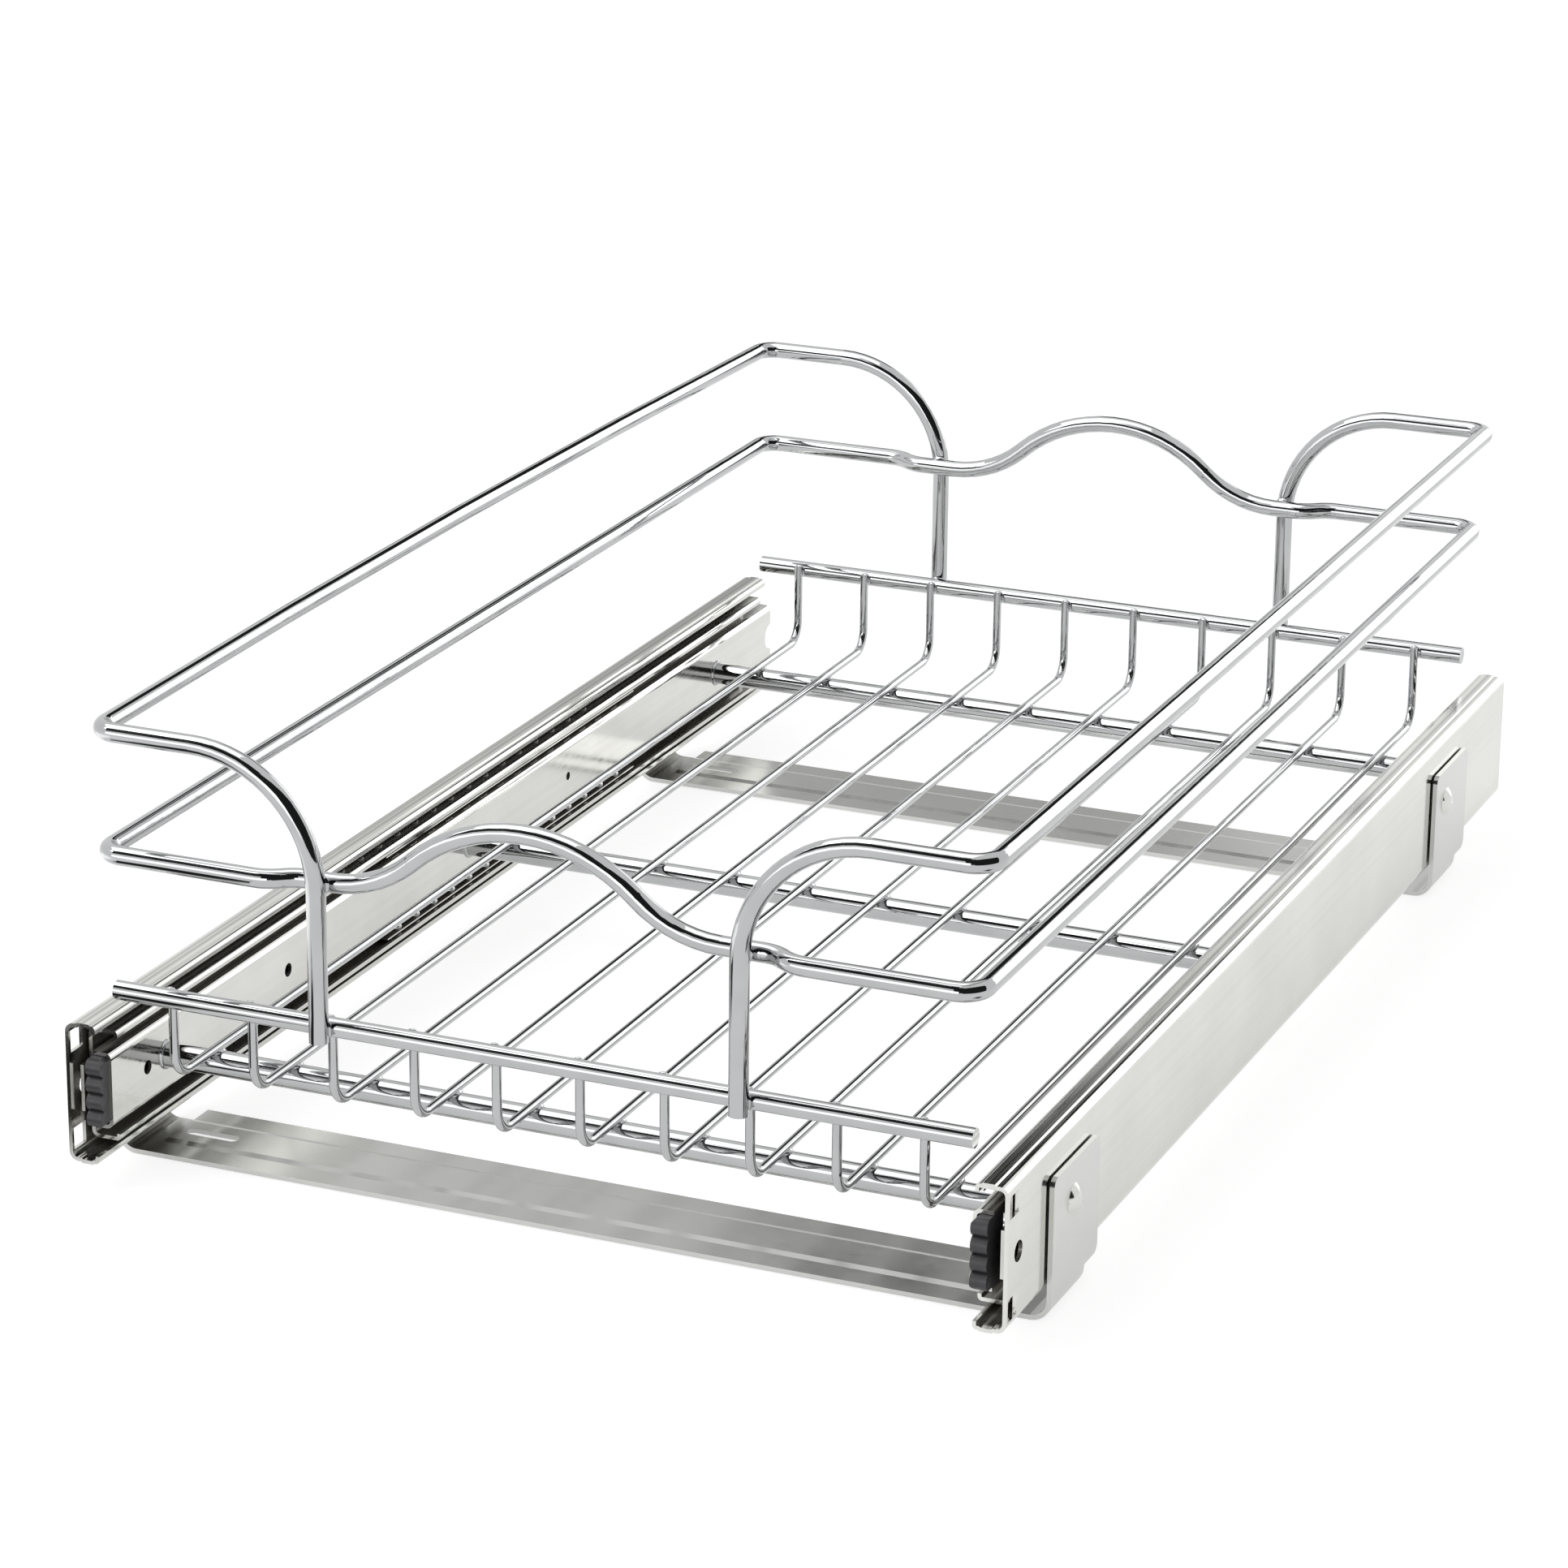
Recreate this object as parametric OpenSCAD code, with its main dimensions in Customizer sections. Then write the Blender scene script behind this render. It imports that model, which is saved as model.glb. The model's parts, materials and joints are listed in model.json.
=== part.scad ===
// Pull-out wire basket on two full-extension ball-bearing slides, for a kitchen base cabinet.
// The basket runs out towards -Y. Z = 0 is the cabinet floor.
// X = 0 and Y = 0 are the middle of the closed slides.
// Lengths are in millimetres.

/* [Slides] */
// Length of the closed slides
slide_l = 508; // [350:1:600]
// Height of a slide
slide_h = 45.7; // [45.7:0.1:56]
// Thickness of a slide, from its outer web to the basket
slide_t = 12.7; // [12.7:0.1:15]
// Width over the outer faces of both slides
frame_w = 303.3; // [260:0.1:600]
// Height of the slides' underside above the cabinet floor
slide_drop = 9.1; // [8:0.1:20]
// Sheet thickness of every slide member
member_gauge = 1.2; // [1:0.05:1.3]
// Height of the intermediate member
intermediate_h = 35.9; // [35:0.1:37]
// Height of the inner member
inner_h = 24.7; // [24:0.1:26]
// Bend radius, to the outside, at the outer member's web
outer_bend_r = 3; // [2:0.1:4]
// Bend radius, to the outside, of the other member bends
member_bend_r = 2.4; // [2:0.1:3]
// Bend radius, to the outside, of the turned lips
lip_bend_r = 1.4; // [1.3:0.1:1.6]
// How far the outer member's lip stays back from the slide's inner face
outer_lip_setback = 2.4; // [2:0.1:3]
// Height of the outer member's turned lip
outer_lip_h = 2.9; // [2.2:0.1:3.2]
// How far the intermediate member's lip stays back from the slide's inner face
intermediate_lip_setback = 0.3; // [0:0.1:0.6]
// Height of the intermediate member's turned lip
intermediate_lip_h = 2.2; // [2:0.1:2.6]
// Gap between the outer and intermediate webs
web_gap = 1.3; // [1.2:0.1:1.6]
// Depth of the inner member's flanges, over its web
inner_flange_w = 6.3; // [5.5:0.1:6.6]
// How far the intermediate member starts behind the outer member's front end
intermediate_setback = 9.5; // [9:0.5:20]
// Length of the tongue on the front of the intermediate member's web
tongue_l = 5.5; // [2:0.5:9]
// Height of the tongue
tongue_h = 15; // [8:0.5:20]
// How far the inner member starts behind the outer member's front end
inner_setback = 5; // [4:0.5:10]

/* [Ball track] */
// Width of the raised ball track on the outer member's flange
track_w = 3.2; // [2:0.1:3.6]
// Height of the raised ball track
track_rise = 0.4; // [0.2:0.05:0.6]
// Width of the slope on each side of the raised ball track
track_slope = 0.6; // [0.4:0.1:0.8]
// Outer ball centres, from the slide's outer face
outer_ball_u = 6.2; // [6:0.1:6.4]
// Inner ball centres, back from the slide's inner face
inner_ball_setback = 3.9; // [3.6:0.1:4.1]
// Running gap between a ball and each raceway
ball_gap = 0.25; // [0.2:0.01:0.3]
// Distance between balls along a cage
ball_pitch = 13.3; // [10:0.1:30]
// Sheet thickness of the ball cages
cage_gauge = 0.5; // [0.4:0.05:0.6]
// Gap between an inner ball cage and the intermediate member's web
cage_web_gap = 0.45; // [0.3:0.05:0.6]
// Gap around a ball in its cage hole
cage_hole_gap = 0.15; // [0.1:0.05:0.2]
// Cage margin beyond its end holes
cage_end = 6.5; // [4:0.5:10]
// Least rim of a cage beside its holes
cage_rim = 0.7; // [0.4:0.1:0.8]
// Length of the outer ball cages
outer_cage_l = 225; // [100:1:230]
// Length of the inner ball cages
inner_cage_l = 196; // [100:1:230]

/* [Travel] */
// How much less than its own length a slide pulls out
travel_loss = 0; // [0:1:60]
// Gap between a cage and the end of its track when the basket is fully out
cage_stop_gap = 3; // [1:0.5:6]

/* [Slide holes] */
// Diameter of the outer web's front hole
front_hole_d = 6.5; // [4:0.1:8]
// Distance of the outer web's front hole from the front end
front_hole_y = 8.5; // [6:0.5:12]
// Distance of the outer web's square slots from the front end
web_slot_y = 1; // [1:0.5:3]
// Length of the outer web's square slots
web_slot_l = 7; // [3:0.5:8]
// Height of the outer web's square slots
web_slot_h = 7; // [3:0.5:8]
// Height of the square slots' centres above and below the slide's middle
web_slot_rise = 15.8; // [12:0.1:16]
// Diameter of the inner web's two front holes
inner_hole_d = 4.5; // [3:0.1:6]
// Distance of the first inner web hole from the slide's front end
inner_hole_y1 = 26.5; // [15:0.5:30]
// Distance of the second inner web hole from the slide's front end
inner_hole_y2 = 116.7; // [60:0.1:130]
// Diameter of the inner web's rear hole
inner_rear_hole_d = 3; // [2:0.1:5]
// Distance of the inner web's rear hole from the slide's rear end
inner_rear_hole_y = 182; // [100:1:200]
// Radius of the round notch in the inner member's rear end
rear_notch_r = 5; // [3:0.1:6]

/* [Bumpers and stops] */
// Depth of a front bumper's body behind its lobes
bumper_l = 10.5; // [8:0.5:14]
// How far each lobe bulges forward
lobe_rise = 2.4; // [0.8:0.1:2.6]
// How far ahead of the bumper's body neighbouring lobes meet
lobe_join = 0.3; // [0.2:0.1:0.5]
// Number of lobes on a bumper
lobe_count = 4; // [3:1:5]
// Gap above and below a bumper in the inner member
bumper_gap = 0.15; // [0.1:0.05:0.3]
// How far a bumper's outer side stays from the slide's outer face
bumper_u = 6.4; // [4:0.1:7]
// Length of a rear stop along the slide
stop_l = 6.5; // [4:0.5:10]
// Height of a rear stop
stop_h = 18; // [10:0.5:22]
// Thickness of a rear stop, from the outer web
stop_t = 4.2; // [3:0.1:4.4]
// Gap between a rear stop and the closed intermediate member
stop_gap = 0.5; // [0.3:0.1:1]
// How far a rear stop stays ahead of the outer member's rear end
stop_margin = 2; // [1:0.5:4]

/* [Brackets] */
// Sheet thickness of the brackets
bracket_gauge = 1.5; // [1.2:0.1:2]
// Width of a bracket's floor strap
strap_w = 36.5; // [32:0.5:40]
// Width of the flat margin on each side of the strap's raised middle
strap_margin = 8.7; // [7:0.1:10]
// Height of the strap's raised middle above its margins
crown_h = 0.5; // [0.3:0.1:1.2]
// Width of the slope beside the raised middle
crown_slope = 2.4; // [1.2:0.1:3]
// Distance from the bend below a tab to the strap's raised middle
crown_start = 5; // [3:0.5:10]
// Bend radius, to the outside, from the strap up to a tab
strap_bend_r = 6.5; // [4:0.1:7]
// How much narrower than the strap the bend is, at the rear
bend_notch_w = 9; // [2:0.5:10]
// Width of a bracket tab
tab_w = 38.5; // [36:0.5:50]
// Height of a tab's top edge above the slide's underside
tab_top = 35.5; // [28:0.5:40]
// How far a tab reaches below the slide's underside
tab_foot = 1.9; // [1:0.1:5]
// Corner radius of a tab
tab_corner_r = 3; // [1:0.5:5]
// Gap between a tab and the slide's web
tab_gap = 0.5; // [0.3:0.1:1]
// Diameter of the boss that bridges the gap around a rivet
boss_d = 12; // [10:0.5:16]
// Middle of the front tabs, from the slides' front end
front_bracket_y = 50.9; // [40:0.1:90]
// Middle of the rear tabs, from the slides' rear end
rear_bracket_y = 71.8; // [40:0.1:120]
// Length of a floor screw slot
floor_slot_l = 18.5; // [8:0.1:24]
// Width of a floor screw slot
floor_slot_w = 4.5; // [3:0.1:7]
// Distance of a floor slot's centre from the slide's outer face
floor_slot_x = 21.3; // [20:0.1:40]
// How far the front rivets lie ahead of the middle of their tabs
front_rivet_ahead = 2.1; // [0:0.1:8]
// How far the rear rivets lie ahead of the middle of their tabs
rear_rivet_ahead = 6.3; // [0:0.1:8]
// Diameter of a rivet's shank
rivet_d = 4.2; // [3:0.1:6]
// Diameter of a rivet's head
rivet_head_d = 10; // [7:0.1:11]
// Height of a rivet's domed head
rivet_head_h = 2.2; // [1:0.1:2.6]

/* [Basket] */
// Diameter of the top bars, the guard rails and the wave rail
rail_d = 6; // [4:0.1:7]
// Diameter of the cross bars
cross_bar_d = 8; // [6:0.1:9]
// Diameter of the floor wires
wire_d = 3; // [2:0.1:4]
// How deep two welded rods sink into each other
weld_sink = 0.5; // [0.2:0.05:0.8]
// Number of floor wires
wire_count = 10; // [6:2:10]
// Distance between floor wires
wire_pitch = 26.96; // [20:0.01:27]
// Bend radius of a floor wire, to its centre
wire_bend_r = 8; // [5:0.5:12]
// How far a floor wire's front end stays below the top of the front top bar
front_tip_drop = 2.6; // [0:0.1:3]
// How far a floor wire's rear end stays below the top of the rear top bar
rear_tip_drop = 1; // [0:0.1:3]
// Front top bar, behind the slides' front end
front_bar_y = 8.5; // [8:0.1:20]
// Rear top bar, ahead of the slides' rear end
rear_bar_y = 10.3; // [9:0.1:20]
// Height of the top bars above the cabinet floor
top_bar_z = 64; // [61:0.1:90]
// How far a top bar's end stays inside the slide's inner face
top_bar_inset = 0.9; // [0:0.1:10]
// Front cross bar, behind the slides' front end
front_cross_y = 38.6; // [30:0.1:60]
// Rear cross bar, ahead of the slides' rear end
rear_cross_y = 50.9; // [30:0.1:70]

/* [Rails] */
// Height of the wave rail's middle above the cabinet floor
wave_z = 110; // [105:0.1:130]
// How much lower the wave rail's front is than its rear
wave_drop = 2; // [0:0.1:3]
// Height of the guard rails above the cabinet floor
guard_z = 147.3; // [142:0.1:180]
// Number of wire gaps between the basket's middle and a post
post_gaps = 2.5; // [0.5:1:2.5]
// How far a post's centre lies outside its top bar's centre
post_out = 4.6; // [4:0.1:6]
// How far a post reaches below its top bar
post_tail = 0.5; // [0:0.1:2]
// Radius of the large bend above a post, to its centre
post_bend_r = 40; // [25:0.5:50]
// Bend radius of the rails' corners, to the centre
rail_corner_r = 7; // [5:0.5:12]
// How far the left guard rail's side lies outside the slide's inner face
left_guard_out = 1.1; // [0:0.1:6]
// How far the right guard rail's side lies outside the slide's inner face
right_guard_out = 3.2; // [0:0.1:6]
// How far the left guard rail bows out at its middle
left_guard_bow = 4.2; // [1:0.1:5]
// How far the wave rail's sides lie outside the slide's inner face
wave_side_out = 0.4; // [0:0.1:3]
// Distance from a post to the start of the wave rail's step inward
wave_step_out = 5; // [3:0.5:12]
// Bend radius of the wave rail's step inward
wave_step_r = 12; // [8:0.5:20]
// Height of the humps
hump_h = 24.2; // [10:0.1:28]
// Bend radius over the top of a hump
hump_top_r = 52.8; // [40:0.1:56]
// Bend radius at the foot of a hump
hump_foot_r = 39.7; // [15:0.1:42]
// How far the front hump lies left of the basket's middle
front_hump_left = 2.8; // [0:0.1:6]
// How far the rear hump lies right of the basket's middle
rear_hump_right = 2.4; // [0:0.1:6]

/* [Hidden] */
$fn = 48;
bend_steps = 6;
cut = 1;
rod_lap = 0.2;
rod_ease = 0.02;
bend_space = 1;
bow_bend_r = 300;
strap_overlap = 0.2;
tongue_lap = 1;

// Shares of the basket's travel that the ball cages make
outer_cage_share = 0.25;
inner_cage_share = 0.75;
travel = slide_l - travel_loss;

front_y = -slide_l / 2;
rear_y = slide_l / 2;
slide_mid_z = slide_drop + slide_h / 2;
basket_w = frame_w - 2 * slide_t;

outer_flange_w = slide_t - outer_lip_setback;
outer_track_w = slide_h / 2 - member_gauge;
intermediate_web_u = member_gauge + web_gap;
intermediate_lip_u = slide_t - intermediate_lip_setback;
intermediate_track_w = intermediate_h / 2 - member_gauge;
inner_ball_u = slide_t - inner_ball_setback;
outer_ball_d = outer_track_w - intermediate_h / 2 - 2 * ball_gap;
outer_ball_w = (outer_track_w + intermediate_h / 2) / 2;
inner_ball_d = intermediate_track_w - inner_h / 2 - 2 * ball_gap;
inner_ball_w = (intermediate_track_w + inner_h / 2) / 2;
outer_cage_u = member_gauge + web_gap / 2;
inner_cage_u = intermediate_web_u + member_gauge + cage_web_gap + cage_gauge / 2;
intermediate_l = slide_l - intermediate_setback - stop_gap - stop_l - stop_margin;
inner_l = slide_l - inner_setback;

// A cage rests where it needs to be so that it still lies in its track when the basket is fully out
outer_cage_y = outer_cage_share * travel + cage_stop_gap + intermediate_setback;
inner_cage_y = inner_cage_share * travel + cage_stop_gap - inner_cage_l;

front_bar_at = front_y + front_bar_y;
rear_bar_at = rear_y - rear_bar_y;
front_cross_at = front_y + front_cross_y;
rear_cross_at = rear_y - rear_cross_y;
middle_cross_at = (front_cross_at + rear_cross_at) / 2;
wire_z = slide_mid_z + cross_bar_d / 2 + wire_d / 2 - weld_sink;
wire_inset = rail_d / 2 + wire_d / 2 - weld_sink;
front_tip_z = top_bar_z + rail_d / 2 - front_tip_drop;
rear_tip_z = top_bar_z + rail_d / 2 - rear_tip_drop;

post_x = post_gaps * wire_pitch;
post_foot_z = top_bar_z - rail_d / 2 - post_tail;
front_rail_at = front_bar_at - post_out;
rear_rail_at = rear_bar_at + post_out;
rail_l = rear_rail_at - front_rail_at;
rail_mid_y = (front_rail_at + rear_rail_at) / 2;
wave_x = basket_w / 2 + wave_side_out;
wave_step = rail_d - weld_sink;
wave_step_angle = slope_angle(2 * wave_step_r, wave_step, bend_space);
wave_step_l = 2 * wave_step_r * sin(wave_step_angle) + bend_space * cos(wave_step_angle);
hump_angle = slope_angle(hump_foot_r + hump_top_r, hump_h, bend_space);
hump_half_l = (hump_foot_r + hump_top_r) * sin(hump_angle) + bend_space * cos(hump_angle);
hump_end_x = hump_half_l + max(front_hump_left, rear_hump_right) + bend_space;
wave_step_x = max(post_x + wave_step_out, hump_end_x);

front_bracket_at = front_y + front_bracket_y;
rear_bracket_at = rear_y - rear_bracket_y;
front_rivet_at = front_bracket_at - front_rivet_ahead;
rear_rivet_at = rear_bracket_at - rear_rivet_ahead;
tab_inner_x = frame_w / 2 + tab_gap;
strap_front = -tab_w / 2;
strap_mid_y = strap_front + strap_w / 2;

chrome = "gainsboro";
zinc = "silver";
galvanised = "darkgray";
dark_plastic = "dimgray";
steel_ball = "whitesmoke";

// Slope of a straight of length s between two opposite bends with radii that add up to r, for a rise of h
function slope_angle(r, h, s) = acos((r - h) / norm([r, s])) - atan(s / r);

// Folded sheet: an outline of even thickness along a line with rounded corners

function unit(v) = v / norm(v);

function turned(v, a) = [v.x * cos(a) - v.y * sin(a), v.x * sin(a) + v.y * cos(a)];

// Signed angle from one direction to another
function turn_between(p, q) = atan2(p.x * q.y - p.y * q.x, p.x * q.x + p.y * q.y);

// Arc of radius r that rounds the corner b on the way from a to c
function corner_arc(a, b, c, r) =
    let (
        way_in = unit(b - a),
        turn = turn_between(way_in, unit(c - b)),
        start = b - way_in * r * abs(tan(turn / 2)),
        centre = start + turned(way_in, sign(turn) * 90) * r
    )
    [for (i = [0:bend_steps]) centre + turned(start - centre, turn * i / bend_steps)];

// A corner is [x, y, bend radius]; a radius of 0 leaves it sharp
function folded_line(corners) =
    let (last = len(corners) - 1, at = [for (c = corners) [c.x, c.y]])
    [for (i = [0:last]) each
        (i == 0 || i == last || corners[i].z == 0)
            ? [at[i]]
            : corner_arc(at[i - 1], at[i], at[i + 1], corners[i].z)];

// Step from the line's middle to its left face at point i, mitred
function face_step(line, i, t) =
    let (
        last = len(line) - 1,
        before = unit(line[max(i, 1)] - line[max(i, 1) - 1]),
        after = unit(line[min(i, last - 1) + 1] - line[min(i, last - 1)]),
        middle = unit(before + after)
    )
    turned(middle, 90) * (t / 2) / (middle * after);

function sheet_outline(corners, t) =
    let (line = folded_line(corners), last = len(line) - 1)
    concat(
        [for (i = [0:last]) line[i] + face_step(line, i, t)],
        [for (i = [last:-1:0]) line[i] - face_step(line, i, t)]
    );

// The corners above the middle line, followed by their mirror image below it
function mirrored(corners) =
    concat(corners, [for (i = [len(corners) - 1:-1:0]) [corners[i].x, -corners[i].y, corners[i].z]]);

// Slide members: across the slide X runs inward from the outer face, and Z is 0 at mid-height

module at_slide(side) {
    mirror([side > 0 ? 1 : 0, 0, 0])
        translate([-frame_w / 2, front_y, slide_mid_z])
            children();
}

module rolled(corners, gauge, start, length) {
    translate([0, start + length, 0])
        rotate([90, 0, 0])
            linear_extrude(length)
                polygon(sheet_outline(corners, gauge));
}

module web_hole(d, y) {
    translate([-cut, y, 0])
        rotate([0, 90, 0])
            cylinder(d = d, h = slide_t + 2 * cut);
}

module outer_member(side) {
    middle = member_gauge / 2;
    flat_w = outer_track_w - track_rise + middle;
    lip_u = outer_flange_w - middle;
    track_in = outer_ball_u + track_w / 2;
    track_out = outer_ball_u - track_w / 2;
    corners = mirrored([
        [lip_u, slide_h / 2 - outer_lip_h, 0],
        [lip_u, flat_w, lip_bend_r - middle],
        [track_in + track_slope, flat_w, 0],
        [track_in, flat_w + track_rise, 0],
        [track_out, flat_w + track_rise, 0],
        [track_out - track_slope, flat_w, 0],
        [middle, flat_w, outer_bend_r - middle]
    ]);
    color(zinc)
    at_slide(side)
        difference() {
            rolled(corners, member_gauge, 0, slide_l);
            web_hole(front_hole_d, front_hole_y);
            for (end = [-1, 1])
                translate([-cut, web_slot_y, end * web_slot_rise - web_slot_h / 2])
                    cube([member_gauge + 2 * cut, web_slot_l, web_slot_h]);
            web_rivet_hole(front_rivet_at - front_y);
            web_rivet_hole(rear_rivet_at - front_y);
        }
}

module web_rivet_hole(y) {
    translate([-cut, y, 0])
        rotate([0, 90, 0])
            cylinder(d = rivet_d, h = member_gauge + 2 * cut);
}

module intermediate_member(side) {
    middle = member_gauge / 2;
    flat_w = intermediate_track_w + middle;
    corners = mirrored([
        [intermediate_lip_u - middle, intermediate_h / 2 - intermediate_lip_h, 0],
        [intermediate_lip_u - middle, flat_w, lip_bend_r - middle],
        [intermediate_web_u + middle, flat_w, member_bend_r - middle]
    ]);
    color(zinc)
    at_slide(side) {
        rolled(corners, member_gauge, intermediate_setback, intermediate_l);
        translate([intermediate_web_u, intermediate_setback - tongue_l, -tongue_h / 2])
            cube([member_gauge, tongue_l + tongue_lap, tongue_h]);
    }
}

module inner_member(side) {
    middle = member_gauge / 2;
    corners = mirrored([
        [slide_t - inner_flange_w, inner_h / 2 - middle, 0],
        [slide_t - middle, inner_h / 2 - middle, member_bend_r - middle]
    ]);
    color(zinc)
    at_slide(side)
        difference() {
            rolled(corners, member_gauge, inner_setback, inner_l);
            web_hole(inner_hole_d, inner_hole_y1);
            web_hole(inner_hole_d, inner_hole_y2);
            web_hole(inner_rear_hole_d, slide_l - inner_rear_hole_y);
            web_hole(2 * rear_notch_r, slide_l);
        }
}

// Ball cages: a thin channel with a row of ball holes along each flange

function ball_count(cage_l) = floor((cage_l - 2 * cage_end) / ball_pitch) + 1;

function ball_start(cage_l) = (cage_l - (ball_count(cage_l) - 1) * ball_pitch) / 2;

module ball_places(cage_y, cage_l, u, w) {
    for (end = [-1, 1], i = [0:ball_count(cage_l) - 1])
        translate([u, cage_y + ball_start(cage_l) + i * ball_pitch, end * w])
            children();
}

module ball_cage(side, cage_y, cage_l, web_u, ball_u, ball_w, ball_d) {
    hole_d = ball_d + 2 * cage_hole_gap;
    corners = mirrored([
        [ball_u + hole_d / 2 + cage_rim, ball_w, 0],
        [web_u, ball_w, lip_bend_r - cage_gauge / 2]
    ]);
    color(zinc)
    at_slide(side)
        difference() {
            rolled(corners, cage_gauge, cage_y, cage_l);
            ball_places(cage_y, cage_l, ball_u, ball_w)
                cylinder(d = hole_d, h = cage_gauge + 2 * cut, center = true);
        }
}

module outer_ball_cage(side) {
    ball_cage(side, outer_cage_y, outer_cage_l, outer_cage_u, outer_ball_u, outer_ball_w, outer_ball_d);
}

module inner_ball_cage(side) {
    ball_cage(side, inner_cage_y, inner_cage_l, inner_cage_u, inner_ball_u, inner_ball_w, inner_ball_d);
}

module outer_balls(side) {
    color(steel_ball)
    at_slide(side)
        ball_places(outer_cage_y, outer_cage_l, outer_ball_u, outer_ball_w)
            sphere(d = outer_ball_d);
}

module inner_balls(side) {
    color(steel_ball)
    at_slide(side)
        ball_places(inner_cage_y, inner_cage_l, inner_ball_u, inner_ball_w)
            sphere(d = inner_ball_d);
}

// Front bumper: a block in the inner member's channel with rounded lobes on its front
module front_bumper(side) {
    height = inner_h - 2 * member_gauge - 2 * bumper_gap;
    lobe_h = height / lobe_count;
    lobe_depth = lobe_rise - lobe_join;
    lobe_r = (lobe_h * lobe_h / 4 + lobe_depth * lobe_depth) / (2 * lobe_depth);
    thickness = slide_t - member_gauge - bumper_u;
    color(dark_plastic)
    at_slide(side)
        translate([bumper_u, 0, -height / 2])
            intersection() {
                union() {
                    translate([0, lobe_rise, 0])
                        cube([thickness, bumper_l, height]);
                    for (i = [0:lobe_count - 1])
                        intersection() {
                            translate([0, lobe_r, (i + 0.5) * lobe_h])
                                rotate([0, 90, 0])
                                    cylinder(r = lobe_r, h = thickness);
                            cube([thickness, lobe_rise + cut, height]);
                        }
                }
                bumper_envelope(thickness, height);
            }
}

// The bumper's section, with its two edges at the inner member's bends cut off
module bumper_envelope(thickness, height) {
    edge = member_bend_r - member_gauge;
    translate([0, bumper_l + lobe_rise + cut, 0])
        rotate([90, 0, 0])
            linear_extrude(bumper_l + lobe_rise + 2 * cut)
                polygon([
                    [-cut, -cut],
                    [thickness - edge - cut, -cut],
                    [thickness, edge],
                    [thickness, height - edge],
                    [thickness - edge - cut, height + cut],
                    [-cut, height + cut]
                ]);
}

// Rear stop: a block on the outer web that the intermediate member closes against
module rear_stop(side) {
    stop_y = intermediate_setback + intermediate_l + stop_gap;
    color(dark_plastic)
    at_slide(side)
        translate([member_gauge, stop_y, -stop_h / 2])
            cube([stop_t, stop_l, stop_h]);
}

// Bracket: a flat strap with a raised middle, bent up at each end into a flat tab

module slot_cut(x, y) {
    straight = floor_slot_l - floor_slot_w;
    depth = crown_h + bracket_gauge + 2 * cut;
    translate([x, y, -cut]) {
        for (end = [-1, 1])
            translate([end * straight / 2, 0, 0])
                cylinder(d = floor_slot_w, h = depth);
        translate([-straight / 2, -floor_slot_w / 2, 0])
            cube([straight, floor_slot_w, depth]);
    }
}

module rounded_plate(t, w, h, r) {
    rotate([0, 90, 0])
        linear_extrude(t)
            union() {
                for (a = [r, h - r], b = [-w / 2 + r, w / 2 - r])
                    translate([-a, b])
                        circle(r);
                translate([-h + r, -w / 2])
                    square([h - 2 * r, w]);
                translate([-h, -w / 2 + r])
                    square([h, w - 2 * r]);
            }
}

// One end of a bracket: a tab, the bend below it and the strap's flat end
module bracket_end(rivet_y) {
    middle = bracket_gauge / 2;
    foot_z = slide_drop - tab_foot;
    bend_x = tab_inner_x + bracket_gauge - strap_bend_r;
    bend_w = strap_w - bend_notch_w;
    bend_corners = [
        [bend_x - crown_start / 2, middle, 0],
        [tab_inner_x + middle, middle, strap_bend_r - middle],
        [tab_inner_x + middle, max(foot_z + tab_corner_r, strap_bend_r + bend_space), 0]
    ];
    translate([tab_inner_x, 0, foot_z])
        rounded_plate(bracket_gauge, tab_w, tab_top + tab_foot, tab_corner_r);
    translate([0, strap_front + bend_w, 0])
        rotate([90, 0, 0])
            linear_extrude(bend_w)
                polygon(sheet_outline(bend_corners, bracket_gauge));
    translate([bend_x - crown_start - strap_overlap, strap_front, 0])
        cube([crown_start + strap_overlap, bend_w, bracket_gauge]);
    translate([tab_inner_x - tab_gap, rivet_y, slide_mid_z])
        rotate([0, 90, 0])
            cylinder(d = boss_d, h = tab_gap + middle);
}

module bracket(at, rivet_ahead) {
    middle = bracket_gauge / 2;
    crown_l = 2 * (tab_inner_x + bracket_gauge - strap_bend_r - crown_start);
    slope_start = strap_w / 2 - strap_margin;
    slope_end = slope_start - crown_slope;
    crown_corners = [
        [-strap_w / 2, middle, 0],
        [-slope_start, middle, 0],
        [-slope_end, middle + crown_h, 0],
        [slope_end, middle + crown_h, 0],
        [slope_start, middle, 0],
        [strap_w / 2, middle, 0]
    ];
    color(galvanised)
    translate([0, at, 0])
        difference() {
            union() {
                translate([-crown_l / 2, strap_mid_y, 0])
                    rotate([90, 0, 90])
                        linear_extrude(crown_l)
                            polygon(sheet_outline(crown_corners, bracket_gauge));
                for (side = [-1, 1])
                    mirror([side > 0 ? 0 : 1, 0, 0])
                        bracket_end(-rivet_ahead);
            }
            for (side = [-1, 1]) {
                slot_cut(side * (frame_w / 2 - floor_slot_x), strap_mid_y);
                translate([side * tab_inner_x, -rivet_ahead, slide_mid_z])
                    rotate([0, 90, 0])
                        cylinder(d = rivet_d, h = 2 * (bracket_gauge + tab_gap + cut), center = true);
            }
        }
}

module front_bracket() {
    bracket(front_bracket_at, front_rivet_ahead);
}

module rear_bracket() {
    bracket(rear_bracket_at, rear_rivet_ahead);
}

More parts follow.
